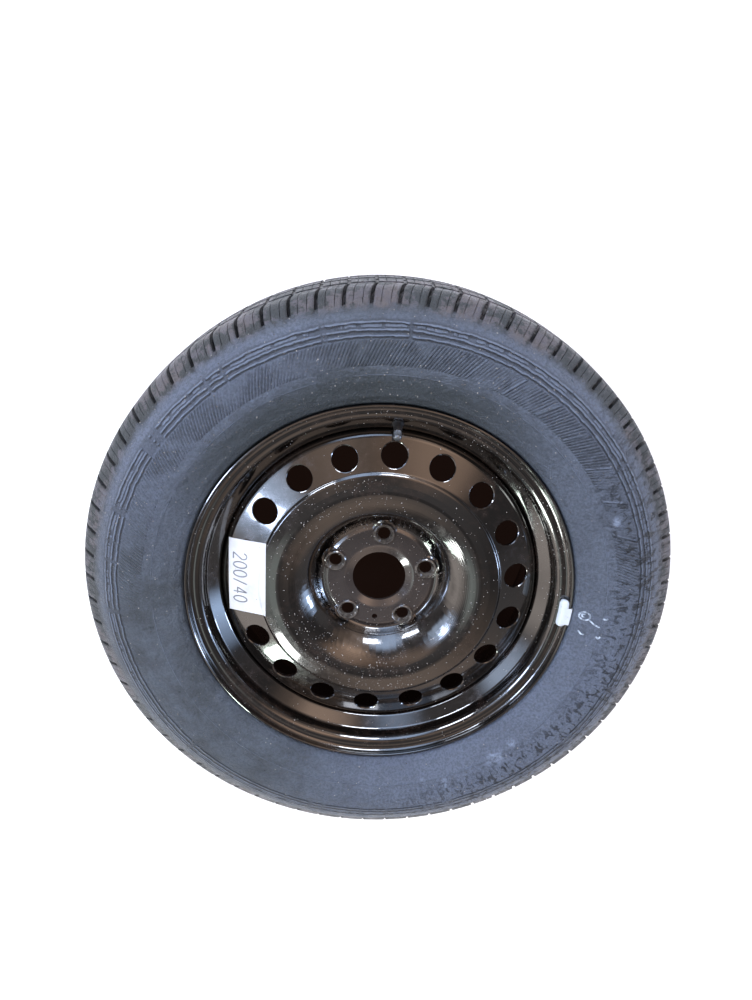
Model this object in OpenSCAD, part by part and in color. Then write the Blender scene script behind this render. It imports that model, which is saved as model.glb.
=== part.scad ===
// Spare wheel: a pressed steel disc wheel with a tubeless tyre, lying face up.
// The origin is the wheel's centre, +Z runs along the axis out of the outer face,
// and +X and +Y are the photograph's right and up.
// Profiles are written as [radius, depth, fillet], with depth counted inwards
// from the plane of the outer flange lip, and are turned around the axis.

/* [Rim] */
// Bead seat diameter of a 17 inch rim
seat_d = 436.6; // [434:0.1:438]
// Width between the flanges, 7 inches
rim_w = 177.8; // [170:0.1:184]
// Height of the flanges above the bead seats
flange_h = 17; // [16.6:0.1:17.5]
// Thickness of the rolled rim
rim_t = 3.2; // [2.8:0.1:3.4]
// Depth of the well below the bead seats
well_drop = 17.3; // [17:0.1:18]

/* [Disc] */
// Thickness of the pressed disc
disc_t = 4.2; // [3.8:0.1:4.4]
// Depth of the bolt pad below the outer lip
pad_depth = 50.5; // [49:0.1:52]
// Diameter of the centre bore
bore_d = 67.1; // [66:0.1:68]
// Diameter of the bolt circle
bolt_circle_d = 120; // [119:0.1:121]
// Number of bolt holes
bolt_count = 5; // [4:1:6]
// Diameter of each bolt hole
bolt_hole_d = 15.5; // [14:0.1:16]
// Number of round vents
vent_count = 18; // [12:1:18]
// Diameter of each vent
vent_d = 30.5; // [28:0.1:31]
// Diameter of the circle of vents
vent_circle_d = 339; // [338:0.1:340]
// Number of weld beads between the disc and the rim
weld_count = 8; // [4:1:12]

/* [Tyre] */
// Outer diameter of the tyre
tyre_d = 729; // [724:1:732]
// Width of the tyre over its sidewalls
tyre_w = 233; // [231:1:235]
// Depth of the grooves around the tread
groove_depth = 7.5; // [5:0.5:8]
// Number of slots around each shoulder
slot_count = 72; // [48:1:80]

/* [Valve] */
// Diameter of the valve hole in the rim
valve_hole_d = 11.3; // [11.3:0.1:11.6]
// Outer diameter of the valve's thread
valve_thread_d = 7.7; // [7.6:0.01:7.75]
// Outer diameter of the valve cap
cap_d = 9.6; // [9.4:0.1:10]

/* [Marks] */
// Angle of the valve, of one bolt hole and of one vent
clock = 84; // [0:1:359]
// Angle of the balance weight
weight_angle = 353; // [270:1:359]
// Angle that the balance weight covers
weight_sweep = 9; // [7:0.5:12]
// Width of the label, across the vents
label_w = 47; // [40:1:50]
// Length of the label, around the vents
label_h = 97; // [80:1:100]

/* [Hidden] */
$fn = 96;

// Small amount by which a cutter runs past a face
past = 1;

// Flange shape of a J rim
flange_w = 12.6;
curl_r = 9.5;
heel_r = 6.5;
seat_slope = tan(5);
seat_r = seat_d / 2;
lip_r = seat_r + flange_h;
lip_z = rim_w / 2 + flange_w;
rim_depth = 2 * lip_z;
inner_seat_r = seat_r - rim_t * (1 / cos(5) - seat_slope);
well_r = seat_r - well_drop - rim_t;

// Outer well wall, which also carries the valve
wall_top = [inner_seat_r - 18.6 * seat_slope, 28];
wall_foot = [well_r, 40.8];
valve_tilt = atan2(wall_foot[1] - wall_top[1], wall_top[0] - wall_foot[0]);
valve_at = (wall_top + wall_foot) / 2;

// Disc shape from the bore outwards
bore_r = bore_d / 2;
bolt_r = bolt_circle_d / 2;
pad_r = 66;
lobe_r = 17.5;
channel_depth = pad_depth + 2.9;
channel_r = 81;
crown = [102.5, 14.6];
dome = [124, 14.2];
crease = [147, 18.3];
step_foot = [149.6, 21];
land_slope = 19;
disc_r = well_r - 0.1;
disc_edge_depth = step_foot[1] + (disc_r - step_foot[0]) * tan(land_slope);
disc_end_depth = 84;
vent_r = vent_circle_d / 2;
vent_depth = step_foot[1] + (vent_r - step_foot[0]) * tan(land_slope);

// Bolt seats
boss_depth = pad_depth - 2.8;
seat_cone_r = bolt_hole_d / 2 + 3.25;
seat_cone_h = (seat_cone_r - bolt_hole_d / 2) / tan(30);
locating_hole_d = 7;
locating_r = 55.7;

// Tyre section
tyre_r = tyre_d / 2;
bulge_depth = lip_z - tyre_w / 2;
shoulder_r = tyre_r - 4.3;
shoulder_depth = 22;
sidewall_t = 9;
tread_t = 19;
groove_w = 9;
groove_places = [-52, -18, 18, 52];
slot_w = 3;
slot_slant = 12;

// Valve core sizes
thread_r = valve_thread_d / 2;
stem_r = 3.5;
stem_top = 20.5;
stem_foot = -11;
chamber_r = 2.6;
passage_r = 1.9;
chamber_foot = 11.6;
pin_r = 0.5;
spring_r = 0.95;
spring_wire_r = 0.16;
spring_turns = 6;

// Length of a vector made one
function unit(v) = v / norm(v);

// Points of the arc of radius r that rounds corner b between a and c
function corner_arc(a, b, c, r) =
    let (u = unit(a - b), v = unit(c - b))
    let (half = acos(u * v) / 2)
    let (p = b + u * r / tan(half), q = b + v * r / tan(half))
    let (m = b + unit(u + v) * r / sin(half))
    let (from = atan2(p[1] - m[1], p[0] - m[0]), to = atan2(q[1] - m[1], q[0] - m[0]))
    let (sweep = (to - from + 540) % 360 - 180)
    let (n = max(2, ceil(abs(sweep) / 8)))
    [for (i = [0:n]) m + r * [cos(from + sweep * i / n), sin(from + sweep * i / n)]];

// A line of [x, y, fillet] corners with its fillets drawn as arcs
function rounded(line) =
    let (flat = [for (c = line) [c[0], c[1]]], last = len(line) - 1)
    [for (i = [0:last])
        each (i == 0 || i == last || line[i][2] == 0
            ? [flat[i]]
            : corner_arc(flat[i - 1], flat[i], flat[i + 1], line[i][2]))];

// The same line moved sideways by t, to its right
function beside(line, t) =
    let (last = len(line) - 1)
    [for (i = [0:last])
        let (d = unit(line[min(i + 1, last)] - line[max(i - 1, 0)]))
        line[i] + t * [d[1], -d[0]]];

// Corners of a line moved sideways by t, to its right, with fillets that keep the thickness
function beside_corners(line, t) =
    let (last = len(line) - 1, flat = [for (c = line) [c[0], c[1]]])
    [for (i = [0:last])
        let (a = unit(flat[max(i, 1)] - flat[max(i, 1) - 1]))
        let (b = unit(flat[min(i, last - 1) + 1] - flat[min(i, last - 1)]))
        let (m = [a[1] + b[1], -a[0] - b[0]] / (1 + a * b), fillet = line[i][2])
        let (turn = sign(cross(a, b)))
        [flat[i][0] + t * m[0], flat[i][1] + t * m[1], fillet == 0 ? 0 : max(0.8, fillet + t * turn)]];

// A line walked the other way
function backwards(line) = [for (i = [len(line) - 1:-1:0]) line[i]];

// Points given as [radius, depth] in the wheel's own radius and height
function placed(line) = [for (p = line) [p[0], lip_z - p[1]]];

// Points of [radius, height] mirrored about the wheel's middle plane
function flipped(line) = [for (p = backwards(line)) [p[0], -p[1]]];

// A line of [radius, depth, fillet] mirrored to the inner side of the wheel
function inner_side(line) = [for (c = backwards(line)) [c[0], rim_depth - c[1], c[2]]];

// Rounded edge of the outer lip, from its tyre side to its seen side
lip_edge = [
    for (a = [30:30:150])
        [lip_r - rim_t / 2 * (1 - cos(a)), rim_t / 2 * (1 - sin(a))]
];

// Seen side of the rim, from the outer lip to the inner one
outer_flange = [
    [lip_r - rim_t, rim_t / 2, 0],
    [lip_r - rim_t, flange_w - rim_t, curl_r - rim_t],
    [inner_seat_r, flange_w - rim_t, heel_r + rim_t]
];
rim_line = rounded(concat(
    outer_flange,
    [
        [wall_top[0], wall_top[1], 6],
        [wall_foot[0], wall_foot[1], 7],
        [well_r, 88, 20],
        [wall_top[0], rim_depth - wall_top[1], 6]
    ],
    inner_side(outer_flange)
));

// Seen side of the disc, from the bore to its inner edge
disc_corners = [
    [bore_r - 3, pad_depth + 4.6, 0],
    [43.5, pad_depth, 12],
    [pad_r, pad_depth, 5],
    [pad_r + 6.5, channel_depth, 4],
    [channel_r, channel_depth, 8],
    [crown[0], crown[1], 15],
    [dome[0], dome[1], 120],
    [crease[0], crease[1], 2.5],
    [step_foot[0], step_foot[1], 2.5],
    [disc_r, disc_edge_depth, 14],
    [disc_r, disc_end_depth, 0]
];
disc_line = rounded(disc_corners);
disc_back = rounded(beside_corners(disc_corners, -disc_t));

// Outer half of the tyre's skin, from the toe of the bead to the middle of the tread
tyre_skin = [
    [seat_r + 0.05 - 16 * seat_slope, flange_w + 16, 0],
    [seat_r + 0.05, flange_w + 0.1, heel_r + 1],
    [lip_r - 2, flange_w + 0.1, curl_r + 0.1],
    [lip_r + 3.3, -1.3, 3],
    [lip_r + 31, bulge_depth, 95],
    [tyre_r - 48.5, bulge_depth, 70],
    [shoulder_r, shoulder_depth, 22],
    [tyre_r, shoulder_depth + 48, 600],
    [tyre_r, lip_z - 0.2, 0]
];
// Inside of the same half, from the edge of the flat belt to the toe
tyre_lining = [
    [tyre_r - tread_t, 52, 0],
    [tyre_r - tread_t - 2.5, 32, 24],
    [tyre_r - 60, bulge_depth + sidewall_t, 45],
    [lip_r + 32, bulge_depth + sidewall_t, 42],
    [lip_r + 6, 15, 14],
    [seat_r + 2, flange_w + 17.5, 0]
];

// One shoulder slot, cut slantwise across the edge of the tread
module shoulder_slot() {
    translate([tyre_r - 1, 0, lip_z - shoulder_depth])
        rotate([slot_slant, 14, 0])
            cube([16, slot_w, 50], center = true);
}

module tyre() {
    color([0.2, 0.22, 0.25])
    difference() {
        rotate_extrude($fn = 180)
            polygon(concat(
                placed(rounded(tyre_skin)),
                flipped(placed(rounded(tyre_skin))),
                flipped(placed(rounded(tyre_lining))),
                placed(rounded(tyre_lining))
            ));
        for (z = groove_places)
            translate([0, 0, z])
                rotate_extrude($fn = 180)
                    polygon([
                        [tyre_r + past, -groove_w / 2 - 0.6],
                        [tyre_r + past, groove_w / 2 + 0.6],
                        [tyre_r - groove_depth, groove_w / 2 - 1],
                        [tyre_r - groove_depth, -groove_w / 2 + 1]
                    ]);
        for (i = [0:slot_count - 1])
            rotate([0, 0, i * 360 / slot_count]) {
                shoulder_slot();
                mirror([0, 0, 1]) shoulder_slot();
            }
    }
}

// Places its children on the outer well wall, with +Z along the valve's axis
module at_valve() {
    rotate([0, 0, clock])
        translate([valve_at[0], 0, lip_z - valve_at[1]])
            rotate([0, -valve_tilt, 0])
                children();
}

module rim() {
    color([0.06, 0.055, 0.05])
    difference() {
        rotate_extrude($fn = 180)
            polygon(placed(concat(
                lip_edge,
                rim_line,
                [for (p = backwards(lip_edge)) [p[0], rim_depth - p[1]]],
                backwards(beside(rim_line, rim_t))
            )));
        at_valve()
            translate([0, 0, -rim_t - 5])
                cylinder(h = rim_t + 10, d = valve_hole_d);
    }
}

// Raised lobe of the bolt pad, with the collar around one bolt hole
module bolt_boss() {
    translate([bolt_r, 0, lip_z])
        rotate_extrude()
            polygon([
                [0, -channel_depth - 1],
                [lobe_r, -channel_depth - 1],
                [lobe_r, -channel_depth + 0.6],
                [lobe_r - 0.7, -channel_depth + 1.8],
                [lobe_r - 2.4, -pad_depth - 0.05],
                [14.2, -pad_depth - 0.05],
                [13.3, -boss_depth - 0.8],
                [12.3, -boss_depth],
                [0, -boss_depth]
            ]);
}

// Coned seat and hole for one bolt, with the underside pressed level around it
module bolt_hole() {
    underside = pad_depth + disc_t - 0.05;
    translate([bolt_r, 0, lip_z])
        rotate_extrude()
            polygon([
                [0, -underside - 6],
                [lobe_r - 3.8, -underside - 6],
                [lobe_r - 3.8, -underside],
                [bolt_hole_d / 2, -underside],
                [bolt_hole_d / 2, -boss_depth - seat_cone_h],
                [seat_cone_r + tan(30), -boss_depth + 1],
                [0, -boss_depth + 1]
            ]);
}

// One round vent, punched square to the sloping land, with its seen edge drawn in
module vent() {
    r = vent_d / 2;
    translate([vent_r, 0, lip_z - vent_depth])
        rotate([0, land_slope, 0])
            rotate_extrude($fn = 72)
                polygon([
                    [0, -15], [r, -15], [r, -2], [r + 0.3, -1], [r + 1, -0.3],
                    [r + 2.8, 0.4], [r + 2.8, 15], [0, 15]
                ]);
}

module disc() {
    color([0.06, 0.055, 0.05])
    difference() {
        union() {
            rotate_extrude($fn = 180)
                polygon(placed(concat(disc_line, backwards(disc_back))));
            for (i = [0:bolt_count - 1])
                rotate([0, 0, clock + i * 360 / bolt_count]) bolt_boss();
        }
        translate([0, 0, lip_z - pad_depth - 15])
            cylinder(h = 30, d = bore_d);
        for (i = [0:bolt_count - 1])
            rotate([0, 0, clock + i * 360 / bolt_count]) bolt_hole();
        for (i = [0:vent_count - 1])
            rotate([0, 0, clock + i * 360 / vent_count]) vent();
        rotate([0, 0, clock + 180])
            translate([locating_r, 0, lip_z - pad_depth - disc_t - past])
                cylinder(h = disc_t + 2 * past, d = locating_hole_d);
    }
}

// Fillet beads along the inner edge of the disc, where it meets the well
module disc_welds() {
    color([0.09, 0.085, 0.08])
    for (i = [0:weld_count - 1])
        rotate([0, 0, clock + 10 + i * 360 / weld_count])
            rotate_extrude(angle = 25)
                translate([disc_r, lip_z - disc_end_depth])
                    intersection() {
                        circle(r = 4, $fn = 24);
                        translate([-4, -4]) square(4);
                    }
}

// Rubber body of the snap-in valve, with its groove in the rim wall
module valve_body() {
    color([0.1, 0.1, 0.1])
    at_valve()
        rotate_extrude()
            polygon([
                [stem_r, -10], [5.4, -10], [7.8, -rim_t - 2.6], [7.8, -rim_t - 0.2],
                [valve_hole_d / 2 - 0.02, -rim_t - 0.2], [valve_hole_d / 2 - 0.02, 0.2],
                [7, 0.2], [7, 1.4], [6.4, 2.2], [5.3, 6], [4.7, 11], [stem_r, 11]
            ]);
}

// Brass stem with the outer thread's nipple and the core's chamber
module valve_stem() {
    color([0.7, 0.56, 0.3])
    at_valve()
        difference() {
            union() {
                translate([0, 0, stem_foot]) cylinder(h = 22.5, r = stem_r);
                translate([0, 0, 11.4]) cylinder(h = stem_top - 11.4 - 0.6, r = thread_r);
                translate([0, 0, stem_top - 0.6]) cylinder(h = 0.6, r1 = thread_r, r2 = thread_r - 0.5);
            }
            translate([0, 0, stem_foot - past]) cylinder(h = 40, r = passage_r);
            translate([0, 0, chamber_foot]) cylinder(h = 20, r = chamber_r);
            translate([0, 0, chamber_foot - 1.2])
                cylinder(h = 1.2, r1 = passage_r, r2 = chamber_r);
        }
}

// Screwed plug of the valve core, with two flats for the core key
module core_plug() {
    color([0.7, 0.56, 0.3])
    at_valve()
        difference() {
            translate([0, 0, 15]) cylinder(h = 4.4, r = chamber_r - 0.05);
            translate([0, 0, 14]) cylinder(h = 8, r = 0.85);
            for (side = [-1, 1])
                translate([side * 2.2, 0, 18.7]) cube([1.6, 6, 3], center = true);
        }
}

// Barrel under the plug, which carries the gasket and holds the spring
module core_barrel() {
    color([0.7, 0.56, 0.3])
    at_valve()
        difference() {
            union() {
                translate([0, 0, 7]) cylinder(h = 3.4, r = 1.6);
                translate([0, 0, 10.4]) cylinder(h = 1.7, r = 1.7);
                translate([0, 0, 12.1]) cylinder(h = 2.9, r = 2.1);
            }
            translate([0, 0, 8.2]) cylinder(h = 10, r = 1.3);
            translate([0, 0, 6]) cylinder(h = 10, r = 0.65);
        }
}

// Tapered gasket that seals the barrel against the stem's cone
module barrel_gasket() {
    color([0.85, 0.3, 0.2])
    at_valve()
        translate([0, 0, 10.45])
            difference() {
                union() {
                    cylinder(h = 1.16, r1 = 1.85, r2 = 2.5);
                    translate([0, 0, 1.16]) cylinder(h = 0.44, r = 2.5);
                }
                translate([0, 0, -past]) cylinder(h = 4, r = 1.7);
            }
}

// Pin with its striking head and the collar that the spring lifts
module core_pin() {
    color([0.72, 0.72, 0.72])
    at_valve() {
        translate([0, 0, 4.6]) cylinder(h = 15.2, r = pin_r);
        translate([0, 0, 19.45]) cylinder(h = 0.5, r = 0.8);
        translate([0, 0, 12.6]) cylinder(h = 0.5, r = 1.15);
    }
}

// Metal cup fixed to the foot of the pin
module pin_cup() {
    color([0.7, 0.56, 0.3])
    at_valve()
        difference() {
            translate([0, 0, 5]) cylinder(h = 1.4, r = 1.5);
            translate([0, 0, 5.5]) cylinder(h = 2, r = 1.25);
            translate([0, 0, 4]) cylinder(h = 4, r = pin_r);
        }
}

// Rubber washer in the cup, which closes the barrel's foot
module cup_gasket() {
    color([0.1, 0.1, 0.1])
    at_valve()
        translate([0, 0, 5.5])
            difference() {
                cylinder(h = 1.45, r = 1.25);
                translate([0, 0, -past]) cylinder(h = 4, r = pin_r);
            }
}

// Return spring of the pin, a wire swept along a helix inside the barrel
module core_spring() {
    sides = 6;
    steps = 12 * spring_turns;
    foot = 8.25;
    height = 12.55 - foot - 2 * spring_wire_r;
    ring = [for (i = [0:steps])
        let (a = i * 360 / 12, z = foot + spring_wire_r + height * i / steps)
        [for (s = [0:sides - 1])
            let (r = spring_r + spring_wire_r * cos(s * 360 / sides))
            [r * cos(a), r * sin(a), z + spring_wire_r * sin(s * 360 / sides)]]];
    skin = [for (i = [0:steps - 1]) for (s = [0:sides - 1])
        let (n = (s + 1) % sides)
        [i * sides + s, (i + 1) * sides + s, (i + 1) * sides + n, i * sides + n]];
    start = [for (s = [0:sides - 1]) s];
    end = [for (s = [sides - 1:-1:0]) steps * sides + s];
    color([0.72, 0.72, 0.72])
    at_valve()
        polyhedron(points = [for (r = ring) each r], faces = concat([start, end], skin));
}

// Screw cap over the valve's thread
module valve_cap() {
    color([0.55, 0.57, 0.6])
    at_valve()
        difference() {
            union() {
                translate([0, 0, 12.2]) cylinder(h = 9.2, d = cap_d);
                translate([0, 0, 21.4]) cylinder(h = 0.8, d1 = cap_d, d2 = cap_d - 1.6);
            }
            translate([0, 0, 12.2 - past]) cylinder(h = 9.2 + past, r = thread_r + 0.1);
        }
}

// Rubber disc in the cap, against the end of the stem
module cap_seal() {
    color([0.1, 0.1, 0.1])
    at_valve()
        translate([0, 0, 20.55]) cylinder(h = 0.8, r = thread_r);
}

// Section of the balance weight, lying in the gutter of the outer flange
weight_line = rounded([
    [lip_r - rim_t - 0.1, 0.4, 0],
    [lip_r - rim_t - 0.1, flange_w - rim_t - 0.1, curl_r - rim_t - 0.1],
    [lip_r - 13.6, flange_w - rim_t - 0.1, 1.5],
    [lip_r - 15.2, 4.4, 2.5],
    [lip_r - 11.6, -1.2, 2.5],
    [lip_r - 4.4, 0.4, 0]
]);

module balance_weight() {
    half = weight_sweep / 2;
    color([0.88, 0.9, 0.92])
    rotate([0, 0, weight_angle])
        intersection() {
            rotate([0, 0, -half])
                rotate_extrude(angle = weight_sweep, $fn = 180)
                    polygon(placed(weight_line));
            translate([lip_r - 9.5, 0, lip_z])
                hull()
                    for (side = [-1, 1])
                        for (row = [-1, 1])
                            translate([row * 1.5, side * (weight_sweep * 1.96 - 6.6), 0])
                                cylinder(h = 40, r = 6.6, center = true, $fn = 24);
        }
}

// Steel strip that clips the weight over the lip of the rim
clip_line = rounded([
    [lip_r - 9, -0.8, 0],
    [lip_r - 3.6, -0.1, 2],
    [lip_r + 0.1, -0.1, 0.4],
    [lip_r + 0.1, 2.6, 0]
]);

module weight_clip() {
    clip_sweep = weight_sweep * 0.6;
    color([0.88, 0.9, 0.92])
    rotate([0, 0, weight_angle - 0.7 - clip_sweep / 2])
        rotate_extrude(angle = clip_sweep, $fn = 180)
            polygon(placed(concat(clip_line, backwards(beside(clip_line, 0.8)))));
}

// Paper label stuck over two vents, following the disc from the dome to its edge
module label() {
    skin = [for (p = disc_line) if (p[0] > 132 && p[0] < disc_r - 1.2 && p[1] < 50) p];
    color([0.92, 0.93, 0.94])
    intersection() {
        rotate_extrude($fn = 180)
            polygon(placed(concat(beside(skin, 0.25), backwards(beside(skin, 0.02)))));
        translate([-162.8, 13, lip_z - 60])
            rotate([0, 0, -3])
                linear_extrude(60)
                    square([label_w, label_h], center = true);
    }
}

tyre();
rim();
disc();
disc_welds();
valve_body();
valve_stem();
core_plug();
core_barrel();
barrel_gasket();
core_pin();
pin_cup();
cup_gasket();
core_spring();
valve_cap();
cap_seal();
balance_weight();
weight_clip();
label();
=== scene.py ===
"""Looks of a spare wheel: a pressed steel disc wheel in gloss black with a used tubeless tyre.

Every length is in metres unless its name ends in mm. The frame is the CAD part's: the origin is the
wheel's centre, +Z runs along the axis out of the outer face, and +X and +Y are the photograph's right and up.
"""

import logging
import math
from collections.abc import Iterable, Sequence
from dataclasses import dataclass, field
from enum import Enum
from functools import reduce

import bpy
import numpy as np
from bpy.types import Material, Node, NodeSocket, NodeTree, Object
from mathutils import Matrix, Vector
from mathutils.bvhtree import BVHTree


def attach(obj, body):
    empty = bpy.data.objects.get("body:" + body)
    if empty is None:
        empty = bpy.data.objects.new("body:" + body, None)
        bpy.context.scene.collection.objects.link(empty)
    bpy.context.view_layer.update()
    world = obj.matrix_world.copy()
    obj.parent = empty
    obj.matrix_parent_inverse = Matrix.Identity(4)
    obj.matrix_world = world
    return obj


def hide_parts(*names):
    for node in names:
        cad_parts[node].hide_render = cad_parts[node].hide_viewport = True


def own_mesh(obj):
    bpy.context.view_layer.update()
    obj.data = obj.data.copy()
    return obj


LOG = logging.getLogger("spare_wheel")
MM = 0.001

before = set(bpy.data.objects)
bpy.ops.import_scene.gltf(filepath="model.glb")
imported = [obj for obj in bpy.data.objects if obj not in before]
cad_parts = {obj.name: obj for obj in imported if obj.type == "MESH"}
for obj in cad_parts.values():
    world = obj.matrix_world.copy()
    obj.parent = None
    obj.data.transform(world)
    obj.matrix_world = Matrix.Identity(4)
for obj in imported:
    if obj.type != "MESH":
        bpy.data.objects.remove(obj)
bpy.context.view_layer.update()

# Section of the wheel, as in the part's source: radius, and depth below the outer lip's plane, in mm. The
# valve's foot and its axis are in the shared frame.
LIP_Z = 101.5
LIP_R = 235.3
TYRE_R = 364.5
BULGE_DEPTH = -15.0
SHOULDER = (360.2, 22.0)
CLOCK = math.radians(84.0)
VALVE_AT = (21.509, 204.643, 67.1)
VALVE_AXIS = (-0.065447, -0.622685, 0.779731)


class Side(Enum):
    """Which face of the wheel a surface lies on."""

    OUTER = 1
    INNER = -1


def linear(code: str) -> tuple[float, float, float, float]:
    """Linear colour of an sRGB hex code.

    Args:
        code: six hex digits after a hash sign.

    Returns:
        Red, green, blue and a full alpha for a colour socket.
    """
    part = [int(code[i:i + 2], 16) / 255 for i in (1, 3, 5)]
    red, green, blue = (c / 12.92 if c <= 0.04045 else ((c + 0.055) / 1.055) ** 2.4 for c in part)
    return red, green, blue, 1.0


def add(tree: NodeTree, kind: str, *feeds: object, out: int | str | None = None,
        **settings: object) -> NodeSocket | None:
    """Adds one node to a material or world.

    Args:
        tree: the node tree it goes into.
        kind: Blender's type name without its "ShaderNode", and after a space its operation or mode.
        feeds: constants or output sockets for the live inputs in order, where None leaves one as it is.
            A dict feeds inputs by name.
        out: name of the output that is wanted, if that isn't the first live one.
        settings: the node's own properties.

    Returns:
        The wanted output socket, or None if the node has none.
    """
    kind, _, mode = kind.partition(" ")
    node = tree.nodes.new("ShaderNode" + kind)
    if mode:
        setattr(node, {"MapRange": "interpolation_type", "Mix": "data_type"}.get(kind, "operation"), mode)
    for name, value in settings.items():
        setattr(node, name, value)
    live = [socket for socket in node.inputs if socket.enabled]
    pairs = [pair for pair in zip(live, feeds) if not isinstance(pair[1], dict)]
    named = [item for group in feeds if isinstance(group, dict) for item in group.items()]
    for socket, feed in pairs + [(node.inputs[name], feed) for name, feed in named]:
        if isinstance(feed, NodeSocket):
            tree.links.new(feed, socket)
        elif feed is not None:
            socket.default_value = feed
    outputs = [socket for socket in node.outputs if socket.enabled]
    return node.outputs[out] if out is not None else next(iter(outputs), None)


def fold(tree: NodeTree, kind: str, feeds: Iterable[object]) -> NodeSocket:
    """Joins feeds from left to right with one operation, such as a product or the highest of them.

    Args:
        tree: the node tree.
        kind: type and operation, as add takes them.
        feeds: two or more constants or output sockets.

    Returns:
        The last output socket.
    """
    return reduce(lambda left, right: add(tree, kind, left, right), feeds)


def polar(angle: float, radius: float) -> tuple[float, float, float]:
    """Point in metres at an angle in radians and a radius in mm, with no height."""
    return radius * math.cos(angle) * MM, radius * math.sin(angle) * MM, 0.0


def around(count: int) -> np.ndarray:
    """Angles in radians of even steps once round."""
    return np.linspace(0, 2 * math.pi, count, endpoint=False)


def blank_tree(owner: Material | bpy.types.World) -> NodeTree:
    """Node tree of a material or world, emptied."""
    owner.use_nodes = True
    owner.node_tree.nodes.clear()
    return owner.node_tree


def unit(vector: np.ndarray) -> np.ndarray:
    """Vector or rows of vectors divided by their length."""
    return vector / np.maximum(np.linalg.norm(vector, axis=-1, keepdims=True), 1e-12)


def rounded(corners: Sequence[tuple[float, float, float]], step: float) -> np.ndarray:
    """Polyline whose corners are replaced by arcs, as in the part's source.

    Each arc is tangent to both sides of its corner and is split about every step degrees.

    Args:
        corners: radius, depth and fillet of each corner in mm.
        step: degrees of arc between two points.

    Returns:
        Points of radius and depth, one a row.
    """
    rows = [np.array(corners[0][:2], float)]
    for before, at, after in zip(corners, corners[1:], corners[2:]):
        a, b, c = (np.array(p[:2], float) for p in (before, at, after))
        if at[2] == 0:
            rows.append(b)
            continue
        u, v = unit(a - b), unit(c - b)
        half = math.acos(float(np.clip(u @ v, -1, 1))) / 2
        centre = b + unit(u + v) * at[2] / math.sin(half)
        start, end = b + u * at[2] / math.tan(half) - centre, b + v * at[2] / math.tan(half) - centre
        first, last = math.atan2(start[1], start[0]), math.atan2(end[1], end[0])
        sweep = (last - first + 3 * math.pi) % (2 * math.pi) - math.pi
        turn = first + np.linspace(0, sweep, max(3, int(abs(math.degrees(sweep)) / step) + 2))
        rows.extend(centre + at[2] * np.column_stack([np.cos(turn), np.sin(turn)]))
    rows.append(np.array(corners[-1][:2], float))
    return np.array(rows)


def raised(corners: Sequence[tuple[float, float, float]], step: float) -> np.ndarray:
    """The same polyline with its depths below the lip's plane turned into heights over the origin."""
    line = rounded(corners, step)
    return np.column_stack([line[:, 0], LIP_Z - line[:, 1]])


def spaced(line: np.ndarray, gap: float) -> np.ndarray:
    """Points of a polyline at even steps of its length.

    Args:
        line: points, one a row.
        gap: length of a step, in the line's own unit.

    Returns:
        The new points, with both ends kept.
    """
    along = np.concatenate([[0], np.cumsum(np.linalg.norm(np.diff(line, axis=0), axis=1))])
    at = np.linspace(0, along[-1], max(2, int(round(along[-1] / gap)) + 1))
    return np.column_stack([np.interp(at, along, line[:, i]) for i in range(line.shape[1])])


def outward(line: np.ndarray) -> np.ndarray:
    """Unit normals on the left of a polyline of radius and height, from central differences."""
    run = np.gradient(line, axis=0)
    return unit(np.column_stack([-run[:, 1], run[:, 0]]))


def mesh_object(name: str, points: np.ndarray, faces: np.ndarray, sharp: float = 180.0) -> Object:
    """Mesh object at the origin from whole arrays.

    Args:
        name: name of the object and its mesh.
        points: vertices in metres, in an array of any shape whose last side is three.
        faces: vertex numbers of each four-sided or three-sided face, one a row.
        sharp: angle in degrees above which an edge is drawn hard.

    Returns:
        The new object, smooth shaded.
    """
    mesh = bpy.data.meshes.new(name)
    sides = faces.shape[1]
    mesh.vertices.add(points.size // 3)
    mesh.vertices.foreach_set("co", points.astype(np.float32).ravel())
    mesh.loops.add(faces.size)
    mesh.loops.foreach_set("vertex_index", faces.astype(np.int32).ravel())
    mesh.polygons.add(len(faces))
    mesh.polygons.foreach_set("loop_start", np.arange(0, faces.size, sides, dtype=np.int32))
    mesh.polygons.foreach_set("use_smooth", np.ones(len(faces), bool))
    mesh.update(calc_edges=True)
    mesh.validate()
    if sharp < 180:
        mesh.set_sharp_from_angle(angle=math.radians(sharp))
    obj = bpy.data.objects.new(name, mesh)
    bpy.context.scene.collection.objects.link(obj)
    return obj


def grid_faces(rows: int, columns: int, closed: bool = False, flip: bool = False) -> np.ndarray:
    """Quads between neighbouring points of a grid that is numbered row by row.

    Args:
        rows: number of rows of points.
        columns: number of points in a row.
        closed: joins the last point of a row to its first.
        flip: turns the faces the other way.

    Returns:
        Vertex numbers, four a row.
    """
    r, c = np.meshgrid(np.arange(rows - 1), np.arange(columns if closed else columns - 1), indexing="ij")
    here, after = r * columns, (c + 1) % columns
    quads = np.stack([here + c, here + columns + c, here + columns + after, here + after], -1).reshape(-1, 4)
    return quads[:, ::-1] if flip else quads


def ring_object(name: str, rings: np.ndarray, sharp: float = 180.0, flip: bool = False) -> Object:
    """Mesh object of closed rings of points, each joined to the next.

    Args:
        name: name of the object and its mesh.
        rings: points in metres, as rings by points by three.
        sharp: angle in degrees above which an edge is drawn hard.
        flip: turns the faces the other way.

    Returns:
        The new object.
    """
    return mesh_object(name, rings, grid_faces(*rings.shape[:2], closed=True, flip=flip), sharp)


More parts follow.
